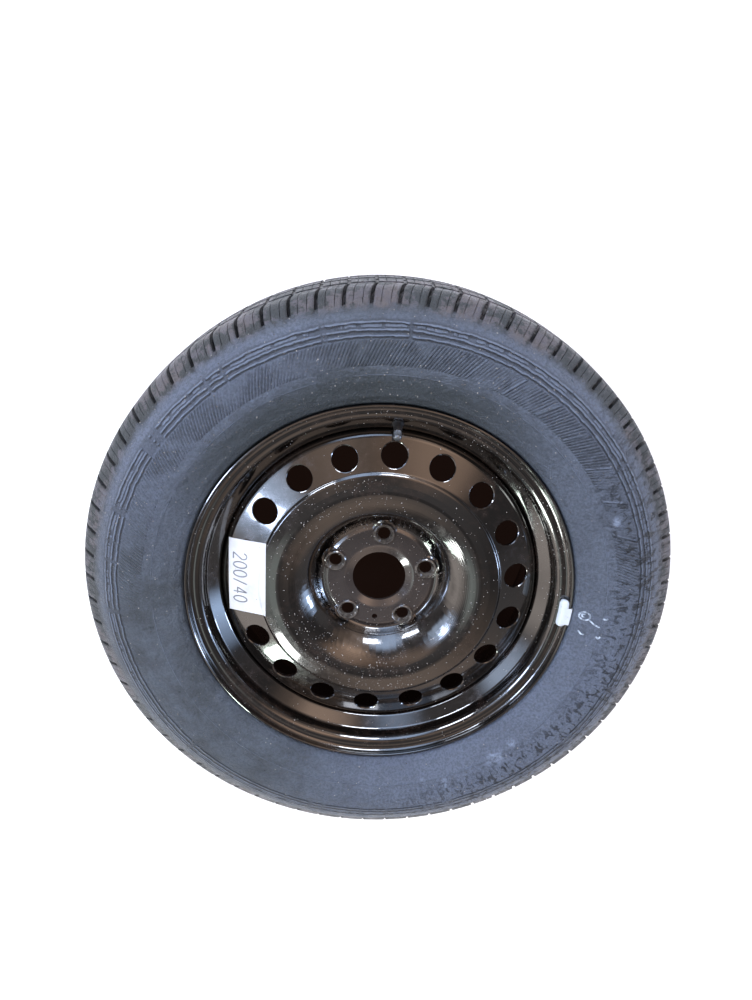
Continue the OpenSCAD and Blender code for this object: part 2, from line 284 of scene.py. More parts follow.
def turned(section: np.ndarray, angles: np.ndarray) -> np.ndarray:
    """Section of radius and height in mm carried round the axis.

    A point at radius r and height z goes to (r cos a, r sin a, z) for each angle a.

    Args:
        section: radius and height, one point a row.
        angles: angles in radians.

    Returns:
        Points in metres with the section as rows and the angles as columns.
    """
    r, z = section[:, 0, None], section[:, 1, None]
    one = np.ones_like(angles)[None, :]
    return np.stack([r * np.cos(angles), r * np.sin(angles), z * one], -1) * MM


@dataclass(frozen=True)
class Finish:
    """A finish: the real material's name and how it is drawn."""

    name: str

    def start(self, **shader: object) -> tuple[Material, NodeTree, Node, NodeSocket]:
        """New material with its main shader and place.

        Args:
            shader: constants of the main shader's sockets, with underscores for spaces.

        Returns:
            The material, its tree, its main shader and the object coordinates in metres.
        """
        material = bpy.data.materials.new(self.name)
        tree = blank_tree(material)
        skin = add(tree, "BsdfPrincipled", {key.replace("_", " "): value for key, value in shader.items()})
        add(tree, "OutputMaterial", {"Surface": skin})
        return material, tree, skin.node, add(tree, "TexCoord", out="Object")

    @staticmethod
    def join(tree: NodeTree, shader: Node, **feeds: NodeSocket) -> None:
        """Links sockets to the main shader's inputs, with underscores for spaces in their names."""
        for name, feed in feeds.items():
            tree.links.new(feed, shader.inputs[name.replace("_", " ")])


@dataclass(frozen=True)
class BlackEnamel(Finish):
    """Black stoving enamel dipped on rolled and pressed steel.

    It gives the eye a deep gloss with sharp reflections, a faint orange peel, hair-fine rolling lines round
    the axis, a brown film of dust that dulls it in clouds, and pale specks of dried dirt.
    """

    name: str = "black_stoved_enamel"
    paint: str = "#0B0908"
    film: str = "#1F1612"
    dust: str = "#9A928A"
    pad_dust: str = "#4B4441"
    rubbed: str = "#7C776F"
    bolts: int = 5
    bolt_circle_mm: float = 120.0
    pad_mm: tuple[float, float] = (78.0, 64.0)
    rubbed_mm: tuple[float, float] = (13.5, 12.0)
    haze_mm: float = 60.0
    grime_mm: float = 9.0
    peel_mm: float = 6.0
    line_mm: float = 1.6
    speck_mm: float = 3.4
    arc_mm: tuple[float, float, float] = (70.0, 128.0, 57.0)
    sheet: tuple[tuple[float, float, float], ...] = (
        (55.0, 50.5, 0), (66.0, 50.5, 5), (72.5, 53.4, 4), (81.0, 53.4, 8), (102.5, 14.6, 15),
        (124.0, 14.2, 120), (147.0, 18.3, 2.5), (149.6, 21.0, 2.5), (165.0, 26.3, 0))

    def soften(self, tree: NodeTree, radius: NodeSocket) -> NodeSocket:
        """Normal that shades the disc's dish as one wide arc, as a press draws it.

        The sheet's slope p(r) is known from its section. The wanted slope q(r) follows a circle of the arc's
        last number as radius between its first two numbers, and elsewhere the sheet's own slope averaged over
        a few mm. A height whose slope along the sheet is tan(q - p) turns the shading by that angle.

        Args:
            tree: the material's node tree.
            radius: distance from the axis in metres.

        Returns:
            The turned normal.
        """
        start, end, bend = self.arc_mm
        line = rounded(self.sheet, 2.0)
        r = np.linspace(60.0, 160.0, 401)
        p = np.arctan(-np.gradient(np.interp(r, line[:, 0], line[:, 1]), r))
        window = np.hanning(17)
        q = np.convolve(np.pad(p, 8, mode="edge"), window / window.sum(), mode="valid")
        inside = (r > start) & (r < end)
        wall = np.arcsin(np.clip((end - r) / bend, 0, 0.82))
        q = np.where(inside, np.minimum(wall, (r - start) / 6.0 * math.radians(55)), q)
        rise = np.tan(np.clip(q - p, -1.2, 1.2)) / np.cos(p)
        height = np.concatenate([[0], np.cumsum((rise[1:] + rise[:-1]) / 2 * np.diff(r))])
        low, span = height.min(), np.ptp(height)
        at = add(tree, "MapRange", radius, r[0] * MM, r[-1] * MM)
        shape = add(tree, "FloatCurve", {"Value": at})
        curve = shape.node.mapping.curves[0]
        curve.points[0].location = (0.0, (height[0] - low) / span)
        curve.points[1].location = (1.0, (height[-1] - low) / span)
        for k in range(4, len(r) - 4, 4):
            curve.points.new((r[k] - r[0]) / (r[-1] - r[0]), (height[k] - low) / span)
        shape.node.mapping.update()
        return add(tree, "Bump", {"Height": shape, "Distance": float(span) * MM})

    def make(self) -> Material:
        """Builds the material."""
        material, t, body, place = self.start(IOR=1.55, Coat_Weight=1.0, Coat_IOR=1.7, Coat_Roughness=0.05)
        cloud, grime, peel = (
            add(t, "TexNoise", {"Vector": place, "Scale": 1 / (mm * MM), "Detail": detail, "Roughness": rough})
            for mm, detail, rough in ((self.haze_mm, 4.0, 0.5), (self.grime_mm, 6.0, 0.65),
                                      (self.peel_mm, 1.0, 0.5)))
        both = add(t, "Math MULTIPLY", cloud, grime)
        filmy = add(t, "MapRange SMOOTHSTEP", both, 0.2, 0.4)
        # Specks of dried dirt, in clouds
        spot = add(t, "TexVoronoi", {"Vector": place, "Scale": 1 / (self.speck_mm * MM)})
        dot = add(t, "MapRange SMOOTHSTEP", spot, 0.13, 0.07)
        near = add(t, "MapRange SMOOTHSTEP", cloud, 0.45, 0.6)
        speck = fold(t, "Math MULTIPLY", (dot, near, 0.2))
        # Dust lies on the bolt pad, and the paint is rubbed grey round the bolt seats
        flat = add(t, "VectorMath MULTIPLY", place, (1, 1, 0))
        radius = add(t, "VectorMath LENGTH", flat)
        pad = add(t, "MapRange SMOOTHSTEP", radius, *(r * MM for r in self.pad_mm), None, 0.55)
        seats = [polar(CLOCK + a, self.bolt_circle_mm / 2) for a in around(self.bolts)]
        near = fold(t, "Math MINIMUM", [add(t, "VectorMath DISTANCE", flat, seat) for seat in seats])
        rubbed = add(t, "MapRange SMOOTHSTEP", near, *(r * MM for r in self.rubbed_mm))
        chipped = add(t, "MapRange", grime, 0.4, 0.6, 0.1, 0.6)
        rubbed = add(t, "Math MULTIPLY", rubbed, chipped)
        color = linear(self.paint)
        for share, tone in ((filmy, self.film), (speck, self.dust), (pad, self.pad_dust),
                            (rubbed, self.rubbed)):
            color = add(t, "Mix RGBA", share, color, linear(tone))
        dull = add(t, "Math ADD", grime, filmy)
        rough = add(t, "MapRange", dull, 0.35, 1.5, 0.1, 0.28)
        # Rolling lines follow radius and height and run round the axis
        height = add(t, "SeparateXYZ", place, out="Z")
        section = add(t, "CombineXYZ", radius, height)
        lines = add(t, "TexNoise", {"Vector": section, "Scale": 1 / (self.line_mm * MM), "Detail": 2.0})
        lined = add(t, "Bump", {"Height": lines, "Distance": 0.002 * MM, "Normal": self.soften(t, radius)})
        relief = add(t, "Bump", {"Height": peel, "Distance": 0.008 * MM, "Normal": lined})
        self.join(t, body, Base_Color=color, Roughness=rough, Normal=relief, Coat_Normal=relief)
        return material


@dataclass(frozen=True)
class TyreRubber(Finish):
    """Vulcanised black rubber gone grey in use.

    It gives the eye a matt blue-grey film on the walls, brown road dust on the tread, a mould's thin rings,
    bars, hatched panels and curved strokes, dark nicks and rubbed smudges on one side, and a darker band above
    the rim. Light and shade are painted on too: a painted sheen on three sides of the walls and a little on the
    band of thin rings, painted highlights on the raised marks and as glints in the mottle, and painted shade
    beside the rings, round the marks, in the hatching and in the slots of the shoulder.
    A band is its middle radius, half width and soft edge in mm. A side with painted sheen is the way to it,
    where it starts and its share. A smudge is its angle in degrees, and its radius and size in mm.
    """

    name: str = "dusty_vulcanised_rubber"
    wall: str = "#3D434A"
    pale: str = "#5B6470"
    # painted sheen: the pale colour of light falling on three sides of the walls
    painted_sheen: str = "#77839B"
    shade: str = "#30373A"
    tread: str = "#5A585F"
    brown: str = "#67605F"
    # dark colour of the nicks, and of the painted shade in the slots, the hatching and beside the rings
    shade_and_nick_dark: str = "#15171B"
    # edge: the colour of painted highlights, on the raised marks and as glints in the mottle
    edge: str = "#8A98AE"
    smear: str = "#98A7C0"
    strokes: int = 40
    hatches: int = 470
    slots: int = 72
    slot_start_mm: float = 57.0
    slot_lean: float = -6.7
    stroke_lean: float = 0.0127
    hatch_lean: float = 0.9
    neck_side: tuple[float, float, float] = (-0.18, 0.98, 0.0)
    stroke_side: tuple[float, float, float] = (0.77, 0.64, 0.0)
    kerb_side: tuple[float, float, float] = (0.92, -0.39, 0.0)
    nick_scale: tuple[float, float] = (46.0, 0.085)
    ragged_mm: float = 24.0
    wavy_mm: float = 5.0
    ring_half_mm: float = 0.5
    ring_soft_mm: float = 1.0
    lee_mm: float = 2.0
    thin_rings_mm: tuple[float, ...] = (312.5, 318.4, 326.0)
    pale_band: tuple[float, float, float] = (322.0, 10.0, 8.0)
    hatch_band: tuple[float, float, float] = (295.0, 12.5, 1.5)
    bar_band: tuple[float, float, float] = (322.2, 1.0, 1.0)
    trough_band: tuple[float, float, float] = (320.0, 8.5, 1.5)
    flash_band: tuple[float, float, float] = (271.0, 0.25, 0.5)
    neck_mm: tuple[float, float] = (300.0, 270.0)
    tread_mm: tuple[float, float] = (346.0, 358.0)
    kerb_mm: tuple[float, float] = (278.0, 308.0)
    # the sides of the wall that get a painted sheen
    painted_sheen_sides: tuple[tuple[tuple[float, float, float], float, float], ...] = (
        ((0.55, -0.83, 0), 0.35, 0.6), ((-0.7, 0.71, 0), 0.7, 0.45), ((0.87, 0.5, 0), 0.3, 0.35))
    smudges: tuple[tuple[float, float, float], ...] = (
        (303.0, 272.0, 17.0), (309.0, 266.0, 10.0), (287.0, 281.0, 13.0), (282.0, 271.0, 7.0),
        (354.2, 273.5, 5.0), (351.5, 262.0, 6.0), (20.0, 290.0, 9.0), (333.0, 268.0, 8.0))

    @staticmethod
    def band(tree: NodeTree, value: NodeSocket, centre: float, half: float, soft: float) -> NodeSocket:
        """One where a value lies within half of a centre, falling to nought over a soft edge."""
        away = add(tree, "Math SUBTRACT", value, centre)
        away = add(tree, "Math ABSOLUTE", away)
        return add(tree, "MapRange SMOOTHSTEP", away, half + soft, half)

    def make(self) -> Material:
        """Builds the material."""
        material, t, body, place = self.start(IOR=1.5, Specular_IOR_Level=0.5)
        flat = add(t, "VectorMath MULTIPLY", place, (1, 1, 0))
        metres = add(t, "VectorMath LENGTH", flat)
        radius = add(t, "Math MULTIPLY", metres, 1 / MM)
        heading = add(t, "VectorMath NORMALIZE", flat)
        split = add(t, "SeparateXYZ", place).node.outputs
        angle = add(t, "Math ARCTAN2", split[1], split[0])
        cloud, patch, mottle, grain = (
            add(t, "TexNoise", {"Vector": place, "Scale": 1 / (mm * MM), "Detail": detail, "Roughness": rough})
            for mm, detail, rough in ((60, 4.0, 0.5), (14, 8.0, 0.68), (3, 5.0, 0.72), (1.3, 3.0, 0.5)))
        # Pale film in clouds over darker rubber
        dirt = add(t, "Math ADD", cloud, patch)
        dirty = add(t, "MapRange SMOOTHSTEP", dirt, 0.7, 1.3)
        layers = [(dirty, self.pale)]
        # Three sides of the wall get a painted sheen where light falls on them, and the band of thin rings a
        # little of the same painted sheen
        for way, low, most in self.painted_sheen_sides:
            side = add(t, "VectorMath DOT_PRODUCT", heading, way)
            layers.append((add(t, "MapRange SMOOTHSTEP", side, low, 1.0, None, most), self.painted_sheen))
        banded = add(t, "Math MULTIPLY", self.band(t, radius, *self.pale_band), 0.15)
        # A fine mottle of dark flecks, with painted glints of highlight between them
        fleck = add(t, "MapRange SMOOTHSTEP", mottle, 0.42, 0.62, None, 0.45)
        painted_glints = add(t, "MapRange SMOOTHSTEP", mottle, 0.6, 0.7, None, 0.25)
        # Darker, greener band above the rim
        top = add(t, "VectorMath DOT_PRODUCT", heading, self.neck_side)
        high = add(t, "MapRange SMOOTHSTEP", top, 0.3, 0.95)
        uneven = add(t, "Math MULTIPLY_ADD", patch, self.ragged_mm, radius)
        neck = add(t, "MapRange SMOOTHSTEP", uneven, *self.neck_mm)
        shady = fold(t, "Math MULTIPLY", (high, neck, 0.85))
        layers += [(banded, self.painted_sheen), (fleck, self.shade), (painted_glints, self.edge), (shady, self.shade)]
        color = linear(self.wall)
        for share, tone in layers:
            color = add(t, "Mix RGBA", share, color, linear(tone))
        # Brown dust on the tread, broken by dark damp patches
        dusty = add(t, "MapRange SMOOTHSTEP", patch, 0.36, 0.64)
        brown = add(t, "Mix RGBA", dusty, linear(self.tread), linear(self.brown))
        damp = add(t, "MapRange SMOOTHSTEP", dirt, 0.92, 1.04, None, 0.9)
        brown = add(t, "Mix RGBA", damp, brown, linear(self.shade))
        # Painted shade in the slots of the shoulder, uneven along them
        lean = add(t, "Math ABSOLUTE", split[2])
        lean = add(t, "Math SUBTRACT", lean, self.slot_start_mm * MM, use_clamp=True)
        pitch = add(t, "Math MULTIPLY", angle, self.slots / (2 * math.pi))
        pitch = add(t, "Math MULTIPLY_ADD", lean, self.slot_lean, pitch)
        pitch = add(t, "Math FRACT", pitch)
        slot = self.band(t, pitch, 0.07, 0.07, 0.1)
        uneven_slot_shade = add(t, "MapRange", mottle, 0.35, 0.6, 0.4, 0.95)
        slot = add(t, "Math MULTIPLY", slot, uneven_slot_shade)
        brown = add(t, "Mix RGBA", slot, brown, linear(self.shade_and_nick_dark))
        outer = add(t, "MapRange SMOOTHSTEP", uneven, *self.tread_mm)
        color = add(t, "Mix RGBA", outer, color, brown)
        # Curved strokes with hatched panels between them, on the upper half of the wall; the hatching's dark
        # lines are painted shade of fine grooves
        turns = add(t, "Math MULTIPLY", angle, self.strokes / (2 * math.pi))
        slant = add(t, "Math MULTIPLY_ADD", radius, self.stroke_lean, turns)
        slant = add(t, "Math FRACT", slant)
        upper = add(t, "MapRange SMOOTHSTEP", split[1], -0.05, 0.1)
        zone = add(t, "Math MULTIPLY", self.band(t, radius, *self.hatch_band), upper)
        right = add(t, "VectorMath DOT_PRODUCT", heading, self.stroke_side)
        right = add(t, "MapRange SMOOTHSTEP", right, 0.84, 0.88)
        stroke = fold(t, "Math MULTIPLY", (self.band(t, slant, 0.5, 0.02, 0.03), zone, right))
        worn = add(t, "MapRange SMOOTHSTEP", cloud, 0.4, 0.55, 0.15)
        panel = add(t, "Math MULTIPLY", zone, worn)
        hatch = add(t, "Math MULTIPLY", angle, self.hatches)
        hatch = add(t, "Math MULTIPLY_ADD", radius, self.hatch_lean, hatch)
        hatch = add(t, "Math SINE", hatch)
        hatch = add(t, "Math MULTIPLY_ADD", hatch, 0.5, 0.5)
        hatch = add(t, "Math MULTIPLY", hatch, panel)
        # Thin rings near the shoulder, broken in places, with painted shade beside them and round the marks,
        # and raised bars of uneven length between two of them
        length = add(t, "TexNoise", {"Vector": heading, "Scale": 16.0, "Detail": 3.0, "Roughness": 0.6})
        whole = add(t, "MapRange SMOOTHSTEP", length, 0.36, 0.42)
        wavy = add(t, "Math MULTIPLY_ADD", patch, self.wavy_mm, radius)
        wavy = add(t, "Math SUBTRACT", wavy, self.wavy_mm / 2)
        lines = ([self.band(t, wavy, at - beside, self.ring_half_mm, self.ring_soft_mm)
                  for at in self.thin_rings_mm] for beside in (0.0, self.lee_mm))
        ring, ring_shadow = (add(t, "Math MULTIPLY", fold(t, "Math MAXIMUM", line), whole) for line in lines)
        bar = add(t, "MapRange SMOOTHSTEP", length, 0.47, 0.485)
        bar = add(t, "Math MULTIPLY", bar, self.band(t, wavy, *self.bar_band))
        proud = add(t, "Math MAXIMUM", ring, bar)
        trough_shade = add(t, "Math SUBTRACT", self.band(t, wavy, *self.trough_band), proud, use_clamp=True)
        # One fine raised ring of flash left by the mould, with a painted highlight along it
        faint = add(t, "MapRange SMOOTHSTEP", cloud, 0.4, 0.55, None, 0.6)
        faint = add(t, "Math MULTIPLY", self.band(t, radius, *self.flash_band), faint)
        # Nicks and scuffs on the side that rubbed a kerb, longer across the wall than round it
        along, across = (add(t, "Math MULTIPLY", *pair) for pair in zip((angle, radius), self.nick_scale))
        swirl = add(t, "CombineXYZ", along, across)
        nick = add(t, "TexNoise", {"Vector": swirl, "Scale": 1.0, "Detail": 5.0, "Roughness": 0.62,
                                   "Distortion": 0.9})
        nick = add(t, "MapRange SMOOTHSTEP", nick, 0.55, 0.58)
        rubbed = add(t, "VectorMath DOT_PRODUCT", heading, self.kerb_side)
        rubbed = add(t, "MapRange SMOOTHSTEP", rubbed, 0.3, 0.85)
        kerbed = add(t, "MapRange SMOOTHSTEP", uneven, *self.kerb_mm)
        nicked = fold(t, "Math MULTIPLY", (nick, rubbed, kerbed))
        # Colour of the moulded marks and the nicks: painted shade in the hatching, round the marks and beside
        # the rings, painted highlights on the raised rings, strokes, bars and flash ring, and dark nicks
        for share, strength, tone in (
                (hatch, 0.5, self.shade_and_nick_dark), (trough_shade, 0.3, self.shade_and_nick_dark), (ring_shadow, 0.75, self.shade_and_nick_dark),
                (ring, 0.5, self.edge), (stroke, 0.35, self.edge), (bar, 0.3, self.edge),
                (faint, 0.5, self.edge), (nicked, 0.8, self.shade_and_nick_dark)):
            weight = add(t, "Math MULTIPLY", share, strength)
            color = add(t, "Mix RGBA", weight, color, linear(tone))
        # Pale rubbed smudges, each round a point of the wall
        close = []
        for degrees, r, size in self.smudges:
            far = add(t, "VectorMath DISTANCE", flat, polar(math.radians(degrees), r))
            close.append(add(t, "MapRange SMOOTHSTEP", far, size * MM, size * 0.2 * MM))
        broken = add(t, "MapRange SMOOTHSTEP", patch, 0.46, 0.62, None, 0.8)
        smear = add(t, "Math MULTIPLY", fold(t, "Math MAXIMUM", close), broken)
        color = add(t, "Mix RGBA", smear, color, linear(self.smear))
        rough = add(t, "MapRange", patch, 0.3, 0.7, 0.26, 0.58)
        # Relief: fine grain under the raised marks, with the nicks cut in
        fine = add(t, "Bump", {"Height": grain, "Distance": 0.2 * MM})
        lumps = add(t, "Math MULTIPLY_ADD", patch, 2.6, mottle)
        rough_skin = add(t, "Bump", {"Height": lumps, "Distance": 2.2 * MM, "Normal": fine})
        height = proud
        for share, strength in ((stroke, 0.8), (hatch, 0.5), (faint, 0.6), (nicked, -1.2)):
            height = add(t, "Math MULTIPLY_ADD", share, strength, height)
        relief = add(t, "Bump", {"Height": height, "Distance": 3.0 * MM, "Normal": rough_skin})
        self.join(t, body, Base_Color=color, Roughness=rough, Normal=relief)
        return material


@dataclass(frozen=True)
class PlainFinish(Finish):
    """A small part's finish: a base colour with a grime colour in soft patches, and a fine relief."""

    name: str = "plain"
    base: str = "#808080"
    grime: str = "#404040"
    metallic: float = 0.0
    rough: tuple[float, float] = (0.3, 0.6)
    patch_mm: float = 6.0
    grain_mm: float = 0.8
    grain_depth_mm: float = 0.02
    cover: tuple[float, float] = (0.45, 0.75)

    def make(self) -> Material:
        """Builds the material."""
        material, t, body, place = self.start(Metallic=self.metallic)
        patch = add(t, "TexNoise", {"Vector": place, "Scale": 1 / (self.patch_mm * MM), "Detail": 5.0,
                                    "Roughness": 0.6})
        share = add(t, "MapRange SMOOTHSTEP", patch, self.cover[0], self.cover[1])
        color = add(t, "Mix RGBA", share, linear(self.base), linear(self.grime))
        rough = add(t, "MapRange", patch, 0.3, 0.7, self.rough[0], self.rough[1])
        grain = add(t, "TexNoise", {"Vector": place, "Scale": 1 / (self.grain_mm * MM), "Detail": 2.0})
        relief = add(t, "Bump", {"Height": grain, "Distance": self.grain_depth_mm * MM})
        self.join(t, body, Base_Color=color, Roughness=rough, Normal=relief)
        return material


@dataclass(frozen=True)
class WaterBead(Finish):
    """Small beads of dirty water: clear enough to shine, pale with silt where they have dried."""

    name: str = "silty_water_beads"

    def make(self) -> Material:
        """Builds the material."""
        material, t, body, place = self.start(IOR=1.33, Roughness=0.12, Coat_Weight=0.6, Coat_Roughness=0.03)
        silt = add(t, "TexNoise", {"Vector": place, "Scale": 1 / (7 * MM), "Detail": 2.0})
        share = add(t, "MapRange SMOOTHSTEP", silt, 0.42, 0.6)
        tint = add(t, "Mix RGBA", share, linear("#5A5550"), linear("#B9B5B0"))
        self.join(t, body, Base_Color=tint)
        return material


class Finishes:
    """Every finish of the wheel, made once."""

    def __init__(self) -> None:
        """Makes the materials."""
        self.enamel = BlackEnamel().make()
        self.rubber = TyreRubber().make()
        self.valve_rubber = PlainFinish("moulded_valve_rubber", "#1B1A1A", "#3A3634", rough=(0.45, 0.75)).make()
        self.brass = PlainFinish("turned_brass", "#B08D4F", "#6E5530", 1.0, (0.25, 0.45)).make()
        self.steel = PlainFinish("plain_spring_steel", "#A9ABAE", "#6F7073", 1.0, (0.25, 0.4)).make()
        self.gasket = PlainFinish("moulded_red_gasket", "#A8452F", "#6B3026", rough=(0.5, 0.7)).make()
        self.cap = PlainFinish("dull_anodised_aluminium", "#8F949B", "#4B4D52", 0.85, (0.3, 0.5), 3.0).make()
        self.coat = PlainFinish("white_plastic_coat_on_zinc", "#DDE6EE", "#A5ACB3", 0.0, (0.3, 0.55), 5.0,
                                cover=(0.55, 0.8)).make()
        self.label = PlainFinish("coated_label_paper", "#E9EBEE", "#D4D7DB", 0.0, (0.35, 0.5), 30.0,
                                 12.0, 0.06).make()
        self.ink = PlainFinish("faded_grey_ink", "#75787F", "#A3A8B0", 0.0, (0.4, 0.6), 7.0).make()
        self.chalk = PlainFinish("wax_chalk", "#C9D8EA", "#8591A0", 0.0, (0.8, 0.95), 4.0,
                                 cover=(0.4, 0.6)).make()
        self.bead = WaterBead().make()


def dress(obj: Object, material: Material) -> None:
    """Gives an object one material on its own slot.

    Args:
        obj: a mesh object or a CAD node.
        material: the finish.
    """
    if not obj.material_slots:
        obj.data.materials.append(material)
    for place in obj.material_slots:
        place.link = "OBJECT"
        place.material = material


@dataclass
class Tyre:
    """The tyre: two walls with raised rings, and a tread of blocks between slanted slots and grooves."""

    pitches: int = 72
    slot_depth_mm: float = 8.0
    sipe_depth_mm: float = 2.4
    rib_slot_mm: float = 1.8
    rib_sipe_mm: float = 1.6
    groove_depth_mm: float = 7.5
    groove_width_mm: float = 9.0
    grooves_mm: tuple[float, ...] = (-52.0, -18.0, 18.0, 52.0)
    slant_deg: float = 12.0
    rings_mm: tuple[tuple[float, float, float], ...] = (
        (246.0, 3.0, 0.7), (271.0, 1.2, 0.6), (312.0, 0.8, 0.5), (318.4, 0.6, 0.5), (325.4, 0.6, 0.5))
    split_r: float = 343.5

    def skin(self) -> np.ndarray:
        """Outer half of the skin as radius and height in mm, from the bead's neck to the tread's middle."""
        corners = [
            (LIP_R - 0.9, 8.9, 0), (LIP_R + 3.3, -1.3, 3), (LIP_R + 31, BULGE_DEPTH, 95),
            (TYRE_R - 48.5, BULGE_DEPTH, 70), (*SHOULDER, 22), (TYRE_R, SHOULDER[1] + 48, 600),
            (TYRE_R, LIP_Z, 0)]
        return raised(corners, 3.0)

    def wall(self, side: Side) -> Object:
        """One wall from the bead's neck to the shoulder.

        The section is the skin pushed out by a smooth hump at each ring, height h * exp(-((r - r0) / w)^2).

        Args:
            side: the face of the wheel it lies on.

        Returns:
            The wall's object.
        """
        skin = self.skin()
        line = spaced(skin[:np.searchsorted(skin[:, 0], self.split_r)], 1.6)
        line = np.vstack([line, self.at_radius(skin, self.split_r)])
        proud = np.zeros(len(line))
        for r0, width, high in self.rings_mm:
            proud += high * np.exp(-((line[:, 0] - r0) / width) ** 2)
        line = line + outward(line) * proud[:, None]
        line[:, 1] *= side.value
        return ring_object(f"tyre_wall_{side.name.lower()}", turned(line, around(480)), flip=side is Side.INNER)

    @staticmethod
    def at_radius(line: np.ndarray, radius: float) -> np.ndarray:
        """Point of a polyline whose radius only grows, at a given radius."""
        return np.array([[radius, np.interp(radius, line[:, 0], line[:, 1])]])

    def tread(self) -> Object:
        """The tread from shoulder to shoulder.

        Rows follow the section and columns go round it. A point sinks along the section's normal by the depth
        of the slot, sipe or groove at its row and column, and the columns lean with height so that the slots
        slant.

        Returns:
            The tread's object.
        """
        skin = self.skin()
        upper = skin[skin[:, 0] > self.split_r]
        upper = spaced(np.vstack([self.at_radius(skin[:-1], self.split_r), upper]), 3.2)
        height = upper[:, 1]
        edge = self.groove_width_mm / 2
        marks = np.array([z + d for z in (18.0, 52.0) for d in (-edge - 0.6, -edge + 1, edge - 1, edge + 0.6)])
        keep = np.array([z for z in height if np.min(np.abs(z - marks)) > 1.5 and z > 1.5])
        half = np.sort(np.concatenate([keep, marks]))
        order = np.argsort(height)
        rows_z = np.concatenate([-half[::-1], half])
        rows_r = np.interp(np.abs(rows_z), height[order], upper[order, 0])
        section = np.column_stack([rows_r, rows_z])[::-1]
        normal = outward(section)
        normal[normal[:, 0] < 0] *= -1
        z = section[:, 1]
        in_groove = np.zeros(len(z))
        for centre in self.grooves_mm:
            in_groove = np.maximum(in_groove, (np.abs(z - centre) < edge - 0.5).astype(float))
        # Places round one pitch, each with its share of the slot's and of the sipes' depth
        local = np.array([0.0, 0.012, 0.128, 0.14, 0.26, 0.388, 0.393, 0.407, 0.412, 0.56, 0.728, 0.733, 0.747,
                          0.752, 0.88])
        slot = np.isin(local, (0.012, 0.128)).astype(float)
        sipe = np.isin(local, (0.393, 0.407, 0.733, 0.747)).astype(float)
        shoulder = np.clip(np.abs(z) - 56.5, 0, 1) * np.clip((section[:, 0] - self.split_r - 0.5) / 3.0, 0, 1)
        ribs = np.clip(50 - np.abs(z), 0, 1) * (1 - in_groove)
        depth = (shoulder[:, None] * (slot * self.slot_depth_mm + sipe * self.sipe_depth_mm)[None, :]
                 + ribs[:, None] * (sipe * self.rib_sipe_mm + slot * self.rib_slot_mm)[None, :])
        depth = np.maximum(depth, in_groove[:, None] * self.groove_depth_mm)
        pitch = 2 * math.pi / self.pitches
        lean = math.tan(math.radians(self.slant_deg)) * np.clip(np.abs(z) - 57, 0, None) / TYRE_R
        base = (np.arange(self.pitches)[:, None] + local[None, :]).ravel() * pitch
        angles = base[None, :] + lean[:, None]
        depth = np.tile(depth, (1, self.pitches))
        r = section[:, 0, None] - normal[:, 0, None] * depth
        h = section[:, 1, None] - normal[:, 1, None] * depth
        return ring_object("tyre_tread", np.stack([r * np.cos(angles), r * np.sin(angles), h], -1) * MM, 35.0)

    def lining(self) -> Object:
        """Inside of the tyre with both beads, a plain turned skin."""
        half = raised([
            (TYRE_R - 19, LIP_Z, 0), (TYRE_R - 19, 52, 0), (TYRE_R - 21.5, 32, 24),
            (TYRE_R - 60, BULGE_DEPTH + 9, 45), (LIP_R + 32, BULGE_DEPTH + 9, 42), (LIP_R + 6, 15, 14),
            (220.3, 30.1, 0), (216.95, 28.6, 0), (218.35, 12.7, 7.5), (LIP_R - 2, 12.7, 7.5),
            (LIP_R - 0.9, 8.9, 0)], 8.0)
        line = np.vstack([half[::-1], (half * [1, -1])[1:]])
        return ring_object("tyre_lining", turned(line, around(180)), 50.0, flip=True)

    def build(self, finishes: Finishes) -> list[Object]:
        """Builds and dresses the tyre, which stands for its CAD node, and returns its pieces."""
        pieces = [self.wall(Side.OUTER), self.wall(Side.INNER), self.tread(), self.lining()]
        for piece in pieces:
            place_piece(piece, finishes.rubber, "wheel", "tyre")
        return pieces


def place_piece(obj: Object, material: Material, body: str = "wheel",
                stands_for: str | None = None) -> None:
    """Dresses a new piece and lets it ride on a body.

    Args:
        obj: the piece.
        material: its finish.
        body: the body that carries it.
        stands_for: the CAD node that it replaces, if any.
    """
    dress(obj, material)
    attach(obj, body)
    if stands_for:
        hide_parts(stands_for)
    LOG.info("%s: %d faces", obj.name, len(obj.data.polygons))


def on_surface(plan: np.ndarray, profile: np.ndarray, lift: float) -> np.ndarray:
    """Points in metres that lie on a turned surface.

    The height at (x, y) is that of the profile at the radius sqrt(x^2 + y^2), plus the lift.

    Args:
        plan: x and y in mm, one point a row.
        profile: radius and height in mm, with the radius growing.
        lift: height over the surface in mm.

    Returns:
        Points in metres, one a row.
    """
    height = np.interp(np.linalg.norm(plan, axis=1), profile[:, 0], profile[:, 1]) + lift
    return np.column_stack([plan, height]) * MM


def strokes(name: str, lines: list[np.ndarray], width: float, profile: np.ndarray, lift: float) -> Object:
    """Flat ribbons laid on a turned surface.

    Each line is walked in even steps. Its two edges lie half a width to both sides of it in plan.

    Args:
        name: name of the piece.
        lines: x and y in mm of each line, one point a row.
        width: width of a ribbon in mm.
        profile: radius and height of the surface in mm.
        lift: height over the surface in mm.

    Returns:
        The ribbons as one object.
    """
    points, faces, count = [], [], 0
    for line in lines:
        line = spaced(line, 1.0)
        run = unit(np.gradient(line, axis=0))
        side = np.column_stack([-run[:, 1], run[:, 0]]) * width / 2
        both = np.stack([line + side, line - side], 1).reshape(-1, 2)
        points.append(on_surface(both, profile, lift))
        faces.append(grid_faces(len(line), 2, flip=True) + count)
        count += len(both)
    return mesh_object(name, np.vstack(points), np.vstack(faces))


